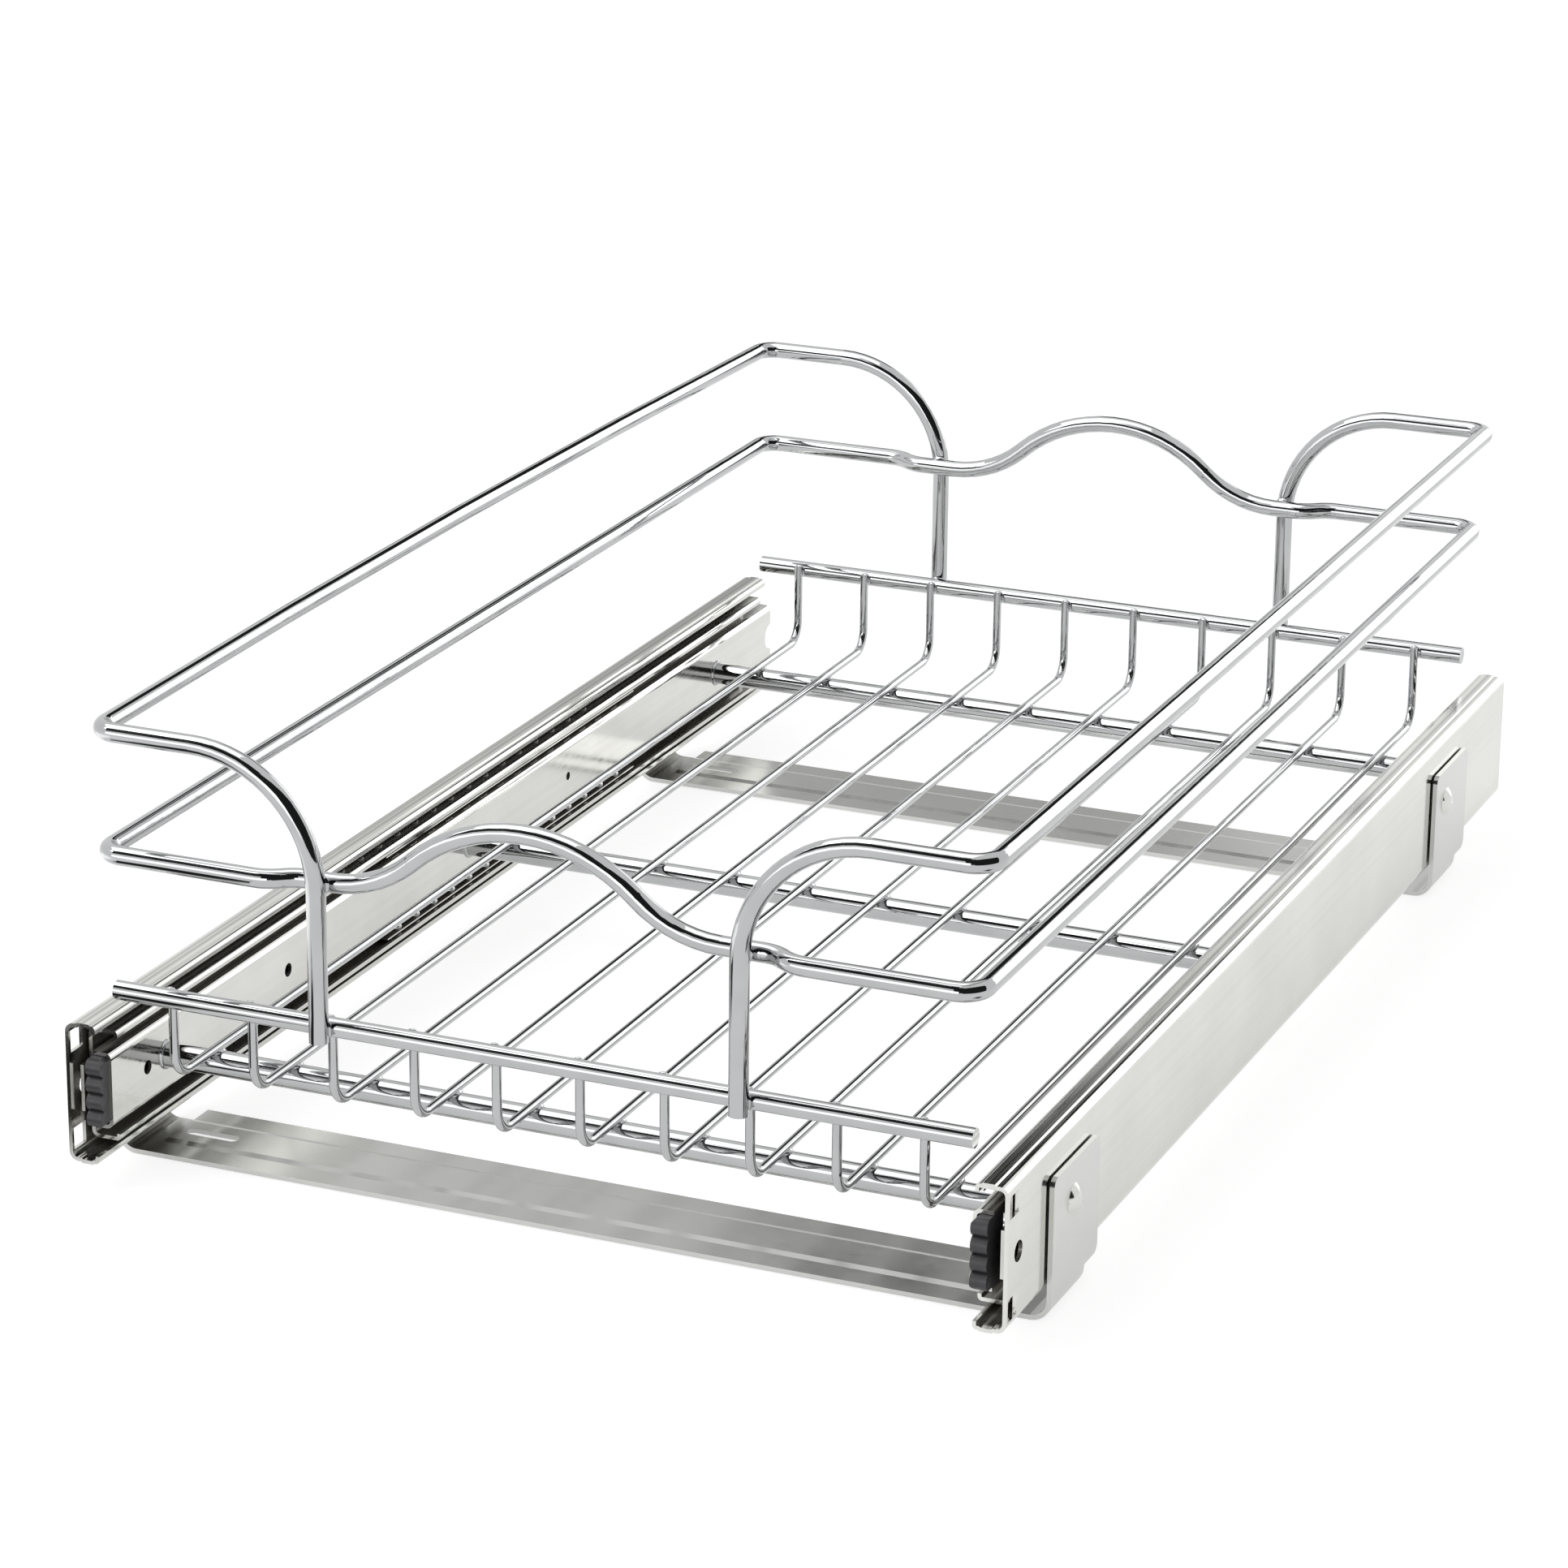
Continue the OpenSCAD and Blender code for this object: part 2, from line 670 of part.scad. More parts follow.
// Rivet: a domed head on the tab and a shank through the tab and the outer web, flush inside
module rivet() {
    dome_r = (rivet_head_d * rivet_head_d / 4 + rivet_head_h * rivet_head_h) / (2 * rivet_head_h);
    shank_l = member_gauge + tab_gap + bracket_gauge;
    rotate([0, 90, 0])
        rotate_extrude() {
            intersection() {
                translate([0, rivet_head_h - dome_r])
                    circle(dome_r);
                square([rivet_head_d, rivet_head_h + cut]);
            }
            translate([0, -shank_l])
                square([rivet_d / 2, shank_l]);
        }
}

module tab_rivets() {
    color(zinc)
    for (side = [-1, 1], at = [front_rivet_at, rear_rivet_at])
        translate([side * (tab_inner_x + bracket_gauge), at, slide_mid_z])
            mirror([side > 0 ? 0 : 1, 0, 0])
                rivet();
}

// Bent rod: straight runs and bends by turns, one after the other, that start at the origin along +Z

function run(length) = ["run", length];

// A bend turns towards the rod's own X, after the rod has rolled about itself
function bend(radius, angle, roll = 0) = ["bend", radius, angle, roll];

// A run laps into the bends beside it and is a hair thinner, so it ends inside them
module rod(d, steps, closed = false, i = 0) {
    if (i < len(steps)) {
        step = steps[i];
        if (step[0] == "run") {
            lap_before = i > 0 ? rod_lap : 0;
            lap_after = i < len(steps) - 1 || closed ? rod_lap : 0;
            translate([0, 0, -lap_before])
                cylinder(d = d - rod_ease, h = step[1] + lap_before + lap_after);
            translate([0, 0, step[1]])
                rod(d, steps, closed, i + 1);
        } else {
            rotate(step[3])
                translate([step[1], 0, 0]) {
                    rotate([90, 0, 180])
                        rotate_extrude(angle = step[2])
                            translate([step[1], 0])
                                circle(d = d);
                    rotate([0, step[2], 0])
                        translate([-step[1], 0, 0])
                            rod(d, steps, closed, i + 1);
                }
        }
    }
}

// Straight bar across the basket, centred on the middle
module bar(d, length, y, z) {
    color(chrome)
    translate([-length / 2, y, z])
        rotate([0, 90, 0])
            cylinder(d = d, h = length);
}

module front_top_bar() {
    bar(rail_d, basket_w - 2 * top_bar_inset, front_bar_at, top_bar_z);
}

module rear_top_bar() {
    bar(rail_d, basket_w - 2 * top_bar_inset, rear_bar_at, top_bar_z);
}

module front_cross_bar() {
    bar(cross_bar_d, basket_w, front_cross_at, slide_mid_z);
}

module middle_cross_bar() {
    bar(cross_bar_d, basket_w, middle_cross_at, slide_mid_z);
}

module rear_cross_bar() {
    bar(cross_bar_d, basket_w, rear_cross_at, slide_mid_z);
}

// Floor wire: down from the front bar, along the cross bars and up to the rear bar
module floor_wire(i) {
    start_y = front_bar_at + wire_inset;
    floor_l = rear_bar_at - wire_inset - start_y - 2 * wire_bend_r;
    bend_top_z = wire_z + wire_bend_r;
    color(chrome)
    translate([(i - (wire_count + 1) / 2) * wire_pitch, start_y, front_tip_z])
        rotate([180, 0, 90])
            rod(wire_d, [
                run(front_tip_z - bend_top_z),
                bend(wire_bend_r, 90),
                run(floor_l),
                bend(wire_bend_r, 90),
                run(rear_tip_z - bend_top_z)
            ]);
}

// Side of a guard rail, from corner to corner: straight, or bowed out by three slight bends and four runs,
// which lean out by one and a half bends, half a bend, and the same back in

function bow_bend(bow) = atan(2 * bow / rail_l);

function side_length(bow) = rail_l - 2 * rail_corner_r * (1 - sin(1.5 * bow_bend(bow)));

function bow_run(bow) =
    let (a = bow_bend(bow))
    (side_length(bow) - 2 * bow_bend_r * sin(1.5 * a)) / (2 * cos(1.5 * a) + 2 * cos(0.5 * a));

function guard_side(bow) =
    bow == 0
        ? [run(side_length(0))]
        : [
            run(bow_run(bow)),
            each [for (i = [1:3]) each [bend(bow_bend_r, bow_bend(bow)), run(bow_run(bow))]]
        ];

module guard_rail(side, out, bow) {
    face_l = basket_w / 2 + out - rail_corner_r - post_x - post_bend_r;
    post_l = guard_z - post_foot_z - post_bend_r;
    corner_angle = 90 - 1.5 * bow_bend(bow);
    color(chrome)
    mirror([side > 0 ? 1 : 0, 0, 0])
        translate([-post_x, front_rail_at, post_foot_z])
            rotate([0, 0, 180])
                rod(rail_d, concat(
                    [run(post_l), bend(post_bend_r, 90), run(face_l)],
                    [bend(rail_corner_r, corner_angle, -90)],
                    guard_side(bow),
                    [bend(rail_corner_r, corner_angle)],
                    [run(face_l), bend(post_bend_r, 90, 90), run(post_l)]
                ));
}

// Wave rail: a closed ring that steps inside the posts and rises in a hump at the front and the rear
function wave_face(hump_shift) =
    let (
        outer_run = wave_x - rail_corner_r - wave_step_x - wave_step_l,
        inner_run = wave_step_x - hump_half_l
    )
    [
        run(outer_run),
        bend(wave_step_r, wave_step_angle),
        run(bend_space),
        bend(wave_step_r, wave_step_angle, 180),
        run(inner_run - hump_shift),
        bend(hump_foot_r, hump_angle, -90),
        run(bend_space),
        bend(hump_top_r, 2 * hump_angle, 180),
        run(bend_space),
        bend(hump_foot_r, hump_angle, 180),
        run(inner_run + hump_shift),
        bend(wave_step_r, wave_step_angle, 90),
        run(bend_space),
        bend(wave_step_r, wave_step_angle, 180),
        run(outer_run)
    ];

module wave_rail() {
    corner = [bend(rail_corner_r, 90)];
    side = [run(rail_l - 2 * rail_corner_r)];
    front_half = concat(corner, wave_face(front_hump_left), corner, side);
    rear_half = concat(corner, wave_face(rear_hump_right), corner, side);
    color(chrome)
    translate([0, rail_mid_y, wave_z])
        rotate([atan(wave_drop / rail_l), 0, 0])
            translate([-wave_x, -rail_l / 2 + rail_corner_r, 0])
                rotate([90, 0, 0])
                    rod(rail_d, concat(front_half, rear_half), true);
}

outer_member(-1);  // outer_member_left
outer_member(1);  // outer_member_right
intermediate_member(-1);  // intermediate_member_left
intermediate_member(1);  // intermediate_member_right
inner_member(-1);  // inner_member_left
inner_member(1);  // inner_member_right
outer_ball_cage(-1);  // outer_ball_cage_left
outer_ball_cage(1);  // outer_ball_cage_right
inner_ball_cage(-1);  // inner_ball_cage_left
inner_ball_cage(1);  // inner_ball_cage_right
outer_balls(-1);  // outer_balls_left
outer_balls(1);  // outer_balls_right
inner_balls(-1);  // inner_balls_left
inner_balls(1);  // inner_balls_right
front_bumper(-1);  // front_bumper_left
front_bumper(1);  // front_bumper_right
rear_stop(-1);  // rear_stop_left
rear_stop(1);  // rear_stop_right
front_bracket();
rear_bracket();
tab_rivets();
front_top_bar();
rear_top_bar();
front_cross_bar();
middle_cross_bar();
rear_cross_bar();
guard_rail(-1, left_guard_out, left_guard_bow);  // guard_rail_left
guard_rail(1, right_guard_out, 0);  // guard_rail_right
wave_rail();
for (i = [1:wire_count])
    floor_wire(i);
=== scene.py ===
import json
import math

import bpy
from mathutils import Matrix, Vector


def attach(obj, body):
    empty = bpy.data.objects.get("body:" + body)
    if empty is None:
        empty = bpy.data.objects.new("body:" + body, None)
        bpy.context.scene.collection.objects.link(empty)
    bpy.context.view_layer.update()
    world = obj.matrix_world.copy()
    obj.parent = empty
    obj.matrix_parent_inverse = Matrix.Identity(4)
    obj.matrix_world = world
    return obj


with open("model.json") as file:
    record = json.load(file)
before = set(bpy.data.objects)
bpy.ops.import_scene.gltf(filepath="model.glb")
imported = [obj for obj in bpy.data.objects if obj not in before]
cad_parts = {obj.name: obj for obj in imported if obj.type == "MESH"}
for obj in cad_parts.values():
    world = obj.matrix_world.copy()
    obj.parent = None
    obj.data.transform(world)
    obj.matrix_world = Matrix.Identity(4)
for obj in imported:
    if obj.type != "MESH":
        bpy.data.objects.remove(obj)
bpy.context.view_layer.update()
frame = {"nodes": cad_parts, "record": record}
nodes = frame["nodes"]

# Places of the welds on the basket, from the part's own sizes in metres
POST_X = 0.0674
WIRE_PITCH = 0.02696
WIRE_COUNT = 10
CROSS_BARS_Y = (-0.2154, -0.00615, 0.2031)
CROSS_BAR_Z = 0.03195
CROSS_BAR_R = 0.004
BAR_END_X = 0.13895
TOP_BARS_Y = (-0.2455, 0.2437)
TOP_BAR_Z = 0.064
RAIL_R = 0.003
POST_OUT = 0.0046
WAVE_Z = (0.109, 0.111)
WAVE_INSET = 0.0055

# Weld beads: half sizes in X, Y and Z, how far a bead stands off or sinks, and how uneven it is
WIRE_BEAD = (0.0024, 0.0032, 0.0012)
WIRE_BEAD_SINK = 0.0001
WIRE_END_BEAD = (0.0023, 0.0012, 0.0026)
POST_BEAD = (0.0036, 0.0015, 0.0036)
POST_BEAD_SINK = 0.0005
WAVE_BEAD = (0.0034, 0.0012, 0.0034)
RING_THICKNESS = 0.0008
RING_STAND_OFF = 0.0001
BLOB_TURNS = 12
BLOB_ROWS = 6
BLOB_LOBES = 3
BLOB_UNEVEN = 0.06
BLOB_SHIFT = (40, 90)
RING_TURNS = 24
RING_SIDES = 8
RING_LOBES = 5
RING_UNEVEN = 0.02

# Camera: the photograph's own view, found from its vanishing lines and edges
CAMERA_AT = Vector((0.611515, -1.506590, 0.635774))
CAMERA_AZIMUTH = math.radians(22.91)
CAMERA_ELEVATION = math.radians(19.14)
CAMERA_ROLL = math.radians(-0.56)
CAMERA_LENS = 119.36
CAMERA_CLIP = (0.05, 50.0)
SENSOR = 36.0

# Painted shade lines along the top of a slide, where the slopes of its ball track turn from the light:
# distance in from its outer face, half the width, and how dark
FRAME_HALF_W = 0.15165
TRACK_SHADE_LINES = (
    (0.00850, 0.0009, 0.20),
    (0.00590, 0.0011, 0.45),
    (0.00440, 0.0007, 0.30),
    (0.00350, 0.0006, 0.40),
    (0.00200, 0.0005, 0.25),
)

# Surroundings: levels of the world, the floor and the panels, where 1 is white
WHITE = (1.0, 1.0, 1.0, 1.0)
SOFT_LEVEL = 0.8
FLOOR_GLOW = 0.74
FLOOR_COLOUR = (0.4, 0.4, 0.4, 1.0)
FLOOR_HALF_W = 6.0
FLOOR_Z = -0.0003
CONTACT_REACH = 0.06
CONTACT_LEVELS = (0.5, 0.95)
CONTACT_END = 0.8
PANEL_LEVEL = 2.3
FLOOR_PANEL_LEVEL = 1.7
BLACK = 0.02
FLOOR_BLACK = 0.05
SHARP = 0.0

# Panels and cards: name, centre, point it faces, width, height, level, soft rim as a share of the width
CARDS = (
    ("panel_back_right", (0.75, 1.95, 0.65), (0.75, 0.0, 0.65), 1.3, 1.3, PANEL_LEVEL, SHARP),
    ("panel_top", (-0.9, 0.1, 2.0), (-0.9, 0.1, 0.0), 2.0, 1.5, PANEL_LEVEL, SHARP),
    ("panel_front", (-1.2, -2.6, 0.45), (-1.2, 0.0, 0.45), 3.2, 0.95, PANEL_LEVEL, SHARP),
    ("card_back_left", (-0.38, 1.9, 1.345), (-0.38, 0.0, 1.345), 0.95, 0.81, BLACK, SHARP),
    ("card_back_low", (-1.0, 1.95, 0.47), (-1.0, 0.0, 0.47), 1.0, 0.54, 0.55, SHARP),
    ("card_back_dim", (-1.0, 1.96, 0.83), (-1.0, 0.0, 0.83), 1.0, 0.20, 0.78, SHARP),
    ("card_front_top", (-0.27, -0.57, 0.58), (-0.27, 0.0, 0.12), 0.8, 0.35, BLACK, SHARP),
    ("card_right", (1.5, -1.0, 1.1), (0.0, 0.0, 0.1), 3.4, 2.2, BLACK, SHARP),
    ("card_front_right", (0.32, -2.25, 1.45), (0.0, -0.25, 0.1), 1.1, 2.7, BLACK, SHARP),
    ("card_floor_right", (0.235, -0.262, 0.0005), (0.235, -0.262, 1.0), 0.08, 0.075, FLOOR_BLACK, 0.3),
    ("card_floor_left", (-0.19, -0.355, 0.0005), (-0.19, -0.355, 1.0), 0.09, 0.18, BLACK, 0.2),
    ("panel_floor_left", (-0.47, -0.32, 0.0004), (-0.47, -0.32, 1.0), 0.42, 0.46, FLOOR_PANEL_LEVEL, 0.15),
)

# Key lamp: place, the point it is aimed at, size and power
KEY_AT = (-1.2, -1.0, 1.8)
KEY_TARGET = (0.0, 0.0, 0.05)
KEY_SIZE = 1.2
KEY_POWER = 12.0


def add_camera():
    az, el = CAMERA_AZIMUTH, CAMERA_ELEVATION
    forward = Vector((-math.sin(az) * math.cos(el), math.cos(az) * math.cos(el), -math.sin(el)))
    right = Vector((math.cos(az), math.sin(az), 0.0))
    down = forward.cross(right)
    c, s = math.cos(CAMERA_ROLL), math.sin(CAMERA_ROLL)
    rolled_right = right * c + down * s
    rolled_down = down * c - right * s
    data = bpy.data.cameras.new("camera")
    data.lens = CAMERA_LENS
    data.sensor_width = SENSOR
    data.sensor_height = SENSOR
    data.sensor_fit = "AUTO"
    data.clip_start, data.clip_end = CAMERA_CLIP
    cam = bpy.data.objects.new("camera", data)
    axes = Matrix((rolled_right, -rolled_down, -forward)).transposed()
    cam.matrix_world = Matrix.Translation(CAMERA_AT) @ axes.to_4x4()
    bpy.context.scene.collection.objects.link(cam)
    bpy.context.scene.camera = cam


# Node helpers for the materials
def empty_material(name):
    mat = bpy.data.materials.new(name)
    mat.use_nodes = True
    tree = mat.node_tree
    tree.nodes.clear()
    out = tree.nodes.new("ShaderNodeOutputMaterial")
    return mat, tree, out.inputs["Surface"]


def new_material(name):
    mat, tree, surface = empty_material(name)
    shader = tree.nodes.new("ShaderNodeBsdfPrincipled")
    tree.links.new(shader.outputs["BSDF"], surface)
    return mat, tree, shader


def place_coordinates(tree, scale=(1.0, 1.0, 1.0)):
    coords = tree.nodes.new("ShaderNodeTexCoord")
    mapping = tree.nodes.new("ShaderNodeMapping")
    mapping.inputs["Scale"].default_value = scale
    tree.links.new(coords.outputs["Object"], mapping.inputs["Vector"])
    return mapping.outputs["Vector"]


def noise(tree, vector, scale, detail=3.0, roughness=0.5):
    tex = tree.nodes.new("ShaderNodeTexNoise")
    tex.inputs["Scale"].default_value = scale
    tex.inputs["Detail"].default_value = detail
    tex.inputs["Roughness"].default_value = roughness
    tree.links.new(vector, tex.inputs["Vector"])
    return tex.outputs["Fac"]


def remap(tree, value, low, high, start=0.3, end=0.7):
    """Low at start and below, high at end and above, and even in between."""
    node = tree.nodes.new("ShaderNodeMapRange")
    node.inputs["From Min"].default_value = start
    node.inputs["From Max"].default_value = end
    node.inputs["To Min"].default_value = low
    node.inputs["To Max"].default_value = high
    tree.links.new(value, node.inputs["Value"])
    return node.outputs["Result"]


def calculated(tree, operation, first, second):
    """One sum; each input is a socket or a plain number."""
    node = tree.nodes.new("ShaderNodeMath")
    node.operation = operation
    for socket, value in zip(node.inputs, (first, second)):
        if isinstance(value, float):
            socket.default_value = value
        else:
            tree.links.new(value, socket)
    return node.outputs["Value"]


def blend_colour(tree, factor, low, high):
    """A colour between two fixed ones."""
    node = tree.nodes.new("ShaderNodeMix")
    node.data_type = "RGBA"
    node.inputs["A"].default_value = (*low, 1.0)
    node.inputs["B"].default_value = (*high, 1.0)
    tree.links.new(factor, node.inputs["Factor"])
    return node.outputs["Result"]


def layered(tree, factor, under, over):
    """One colour over another, as much as the factor says."""
    node = tree.nodes.new("ShaderNodeMix")
    node.data_type = "RGBA"
    tree.links.new(factor, node.inputs["Factor"])
    tree.links.new(under, node.inputs["A"])
    tree.links.new(over, node.inputs["B"])
    return node.outputs["Result"]


def multiplied(tree, colour, amount):
    node = tree.nodes.new("ShaderNodeMix")
    node.data_type = "RGBA"
    node.blend_type = "MULTIPLY"
    node.inputs["Factor"].default_value = 1.0
    tree.links.new(colour, node.inputs["A"])
    tree.links.new(amount, node.inputs["B"])
    return node.outputs["Result"]


def bump(tree, height, distance, strength=1.0):
    node = tree.nodes.new("ShaderNodeBump")
    node.inputs["Distance"].default_value = distance
    node.inputs["Strength"].default_value = strength
    tree.links.new(height, node.inputs["Height"])
    return node.outputs["Normal"]


def free_share(tree, reach, samples):
    """Share of the space within reach of a face that is free."""
    hollow = tree.nodes.new("ShaderNodeAmbientOcclusion")
    hollow.samples = samples
    hollow.inputs["Distance"].default_value = reach
    return hollow.outputs["AO"]


def openness(tree, reach):
    """0 deep inside channels and gaps, 1 on open faces."""
    return remap(tree, free_share(tree, reach, samples=8), low=0.0, high=1.0, start=0.2, end=0.6)


def upward_part(tree):
    """How much a face looks up: 1 on a level top, 0 or less on walls and undersides."""
    geometry = tree.nodes.new("ShaderNodeNewGeometry")
    split = tree.nodes.new("ShaderNodeSeparateXYZ")
    tree.links.new(geometry.outputs["True Normal"], split.inputs["Vector"])
    return split.outputs["Z"]


def painted_track_shade(tree, colour):
    """Painted shade: dark lines along the top of a slide, beside and on its ball track, where its rounded
    slopes turn from the light.
    """
    split = tree.nodes.new("ShaderNodeSeparateXYZ")
    tree.links.new(place_coordinates(tree), split.inputs["Vector"])
    across = calculated(tree, "ABSOLUTE", split.outputs["X"], 0.0)
    on_top = remap(tree, upward_part(tree), low=0.0, high=1.0, start=0.3, end=0.6)
    for inward, half_width, depth in TRACK_SHADE_LINES:
        offset = calculated(tree, "SUBTRACT", across, FRAME_HALF_W - inward)
        away = calculated(tree, "ABSOLUTE", offset, 0.0)
        line = remap(tree, away, low=depth, high=0.0, start=0.0, end=half_width)
        shade_line = calculated(tree, "MULTIPLY", line, on_top)
        colour = multiplied(tree, colour, calculated(tree, "SUBTRACT", 1.0, shade_line))
    return colour


def painted_shade_on_top(tree, colour, level):
    """The colour, darkened on faces that look up: painted shade."""
    return multiplied(tree, colour, remap(tree, upward_part(tree), low=1.0, high=level, start=0.6, end=0.95))


def chrome_material():
    mat, tree, shader = new_material("polished_chrome")
    even = place_coordinates(tree)
    shader.inputs["Metallic"].default_value = 1.0
    cloud = remap(tree, noise(tree, even, scale=60.0, detail=2.0), low=0.0, high=1.0)
    colour = blend_colour(tree, cloud, low=(0.445, 0.45, 0.455), high=(0.49, 0.495, 0.50))
    tree.links.new(colour, shader.inputs["Base Color"])
    haze = remap(tree, noise(tree, even, scale=220.0), low=0.03, high=0.07)
    tree.links.new(haze, shader.inputs["Roughness"])
    waves = noise(tree, even, scale=90.0, detail=1.5)
    tree.links.new(bump(tree, waves, distance=0.00008), shader.inputs["Normal"])
    return mat


def zinc_material():
    """Bright zinc with rolling marks along the slides, painted shade lines along their tops, and painted
    shade with a greasy brown tint deep inside the channels.
    """
    mat, tree, shader = new_material("bright_zinc")
    even = place_coordinates(tree)
    rolled = place_coordinates(tree, scale=(1.0, 0.02, 1.0))
    drawn_out = place_coordinates(tree, scale=(1.0, 0.003, 1.0))
    cloud = noise(tree, even, scale=25.0, detail=4.0)
    patches = remap(tree, cloud, low=0.0, high=1.0)
    colour = blend_colour(tree, patches, low=(0.65, 0.65, 0.62), high=(0.72, 0.72, 0.69))
    marks = noise(tree, drawn_out, scale=420.0, detail=2.0)
    colour = multiplied(tree, colour, remap(tree, marks, low=0.97, high=1.0, start=0.4, end=0.55))
    # Painted shade lines along the slides' tops, beside and on the ball tracks
    colour = painted_track_shade(tree, colour)
    # Painted shade with a greasy brown tint: deep inside the channels the zinc is darkened and made less
    # metallic
    open_share = openness(tree, reach=0.012)
    grease_and_shade = blend_colour(tree, cloud, low=(0.09, 0.08, 0.065), high=(0.15, 0.138, 0.11))
    tree.links.new(layered(tree, open_share, under=grease_and_shade, over=colour), shader.inputs["Base Color"])
    metallic = remap(tree, open_share, low=0.35, high=1.0, start=0.0, end=1.0)
    tree.links.new(metallic, shader.inputs["Metallic"])
    lines = noise(tree, rolled, scale=1800.0, detail=2.0)
    tree.links.new(remap(tree, lines, low=0.07, high=0.16), shader.inputs["Roughness"])
    tree.links.new(bump(tree, lines, distance=0.00001, strength=0.6), shader.inputs["Normal"])
    return mat


def galvanised_material():
    mat, tree, shader = new_material("galvanised_sheet")
    even = place_coordinates(tree)
    shader.inputs["Metallic"].default_value = 1.0
    cells = tree.nodes.new("ShaderNodeTexVoronoi")
    cells.inputs["Scale"].default_value = 260.0
    tree.links.new(even, cells.inputs["Vector"])
    faint_cells = calculated(tree, "MULTIPLY", cells.outputs["Distance"], 0.25)
    cloud = noise(tree, even, scale=45.0, detail=5.0)
    mottled = calculated(tree, "ADD", faint_cells, cloud)
    patches = remap(tree, mottled, low=0.0, high=1.0, start=0.35, end=0.8)
    colour = blend_colour(tree, patches, low=(0.615, 0.62, 0.605), high=(0.655, 0.655, 0.635))
    # Painted shade: the strap's upward faces are darkened
    colour = painted_shade_on_top(tree, colour, level=0.8)
    tree.links.new(colour, shader.inputs["Base Color"])
    haze = remap(tree, mottled, low=0.19, high=0.25, start=0.3, end=0.8)
    tree.links.new(haze, shader.inputs["Roughness"])
    grain = noise(tree, even, scale=900.0, detail=2.0)
    tree.links.new(bump(tree, grain, distance=0.00001, strength=0.25), shader.inputs["Normal"])
    return mat


def plastic_material():
    mat, tree, shader = new_material("dark_plastic")
    even = place_coordinates(tree)
    specks = noise(tree, even, scale=300.0)
    colour = blend_colour(tree, specks, low=(0.035, 0.035, 0.038), high=(0.06, 0.06, 0.064))
    tree.links.new(colour, shader.inputs["Base Color"])
    haze = remap(tree, noise(tree, even, scale=500.0, detail=2.0), low=0.35, high=0.5)
    tree.links.new(haze, shader.inputs["Roughness"])
    grain = noise(tree, even, scale=1500.0, detail=2.0)
    tree.links.new(bump(tree, grain, distance=0.00003, strength=0.6), shader.inputs["Normal"])
    return mat


def ball_material():
    mat, tree, shader = new_material("ball_steel")
    shader.inputs["Metallic"].default_value = 1.0
    even = place_coordinates(tree)
    cloud = noise(tree, even, scale=200.0, detail=2.0)
    colour = blend_colour(tree, cloud, low=(0.76, 0.76, 0.76), high=(0.84, 0.84, 0.84))
    tree.links.new(colour, shader.inputs["Base Color"])
    haze = remap(tree, noise(tree, even, scale=700.0, detail=2.0), low=0.06, high=0.12)
    tree.links.new(haze, shader.inputs["Roughness"])
    return mat


# Light as in a product studio: white all round, with bright panels and black cards that only the metal shows
def seen_directly(tree):
    """1 for camera, glossy and transmission rays, so that metal shows the white background too."""
    path = tree.nodes.new("ShaderNodeLightPath")
    value = path.outputs["Is Camera Ray"]
    for ray in ("Is Glossy Ray", "Is Transmission Ray"):
        value = calculated(tree, "MAXIMUM", value, path.outputs[ray])
    return value


def add_world():
    world = bpy.data.worlds.new("studio")
    bpy.context.scene.world = world
    world.use_nodes = True
    tree = world.node_tree
    tree.nodes.clear()
    out = tree.nodes.new("ShaderNodeOutputWorld")
    soft = tree.nodes.new("ShaderNodeBackground")
    soft.inputs["Strength"].default_value = SOFT_LEVEL
    white = tree.nodes.new("ShaderNodeBackground")
    for node in (soft, white):
        node.inputs["Color"].default_value = WHITE
    mix = tree.nodes.new("ShaderNodeMixShader")
    tree.links.new(seen_directly(tree), mix.inputs["Fac"])
    tree.links.new(soft.outputs["Background"], mix.inputs[1])
    tree.links.new(white.outputs["Background"], mix.inputs[2])
    tree.links.new(mix.outputs["Shader"], out.inputs["Surface"])


def flat_mesh(name, half_width, half_height, z=0.0):
    w, h = half_width, half_height
    mesh = bpy.data.meshes.new(name)
    mesh.from_pydata([(-w, -h, z), (w, -h, z), (w, h, z), (-w, h, z)], [], [(0, 1, 2, 3)])
    return mesh


def edge_fade(tree, rim):
    """0 at the edges of a flat card, 1 further in than the rim, a share of the card's width."""
    coords = tree.nodes.new("ShaderNodeTexCoord")
    split = tree.nodes.new("ShaderNodeSeparateXYZ")
    tree.links.new(coords.outputs["Generated"], split.inputs["Vector"])
    nearest = 1.0
    for axis in ("X", "Y"):
        nearest = calculated(tree, "MINIMUM", nearest, split.outputs[axis])
        opposite = calculated(tree, "SUBTRACT", 1.0, split.outputs[axis])
        nearest = calculated(tree, "MINIMUM", nearest, opposite)
    return remap(tree, nearest, low=0.0, high=1.0, start=0.0, end=rim)


def card_material(name, level, rim):
    mat, tree, surface = empty_material(name)
    glow = tree.nodes.new("ShaderNodeEmission")
    glow.inputs["Color"].default_value = WHITE
    glow.inputs["Strength"].default_value = level
    shade = glow.outputs["Emission"]
    if rim > SHARP:
        mix = tree.nodes.new("ShaderNodeMixShader")
        clear = tree.nodes.new("ShaderNodeBsdfTransparent")
        tree.links.new(edge_fade(tree, rim), mix.inputs["Fac"])
        tree.links.new(clear.outputs["BSDF"], mix.inputs[1])
        tree.links.new(shade, mix.inputs[2])
        shade = mix.outputs["Shader"]
    tree.links.new(shade, surface)
    mat.cycles.emission_sampling = "NONE"
    return mat


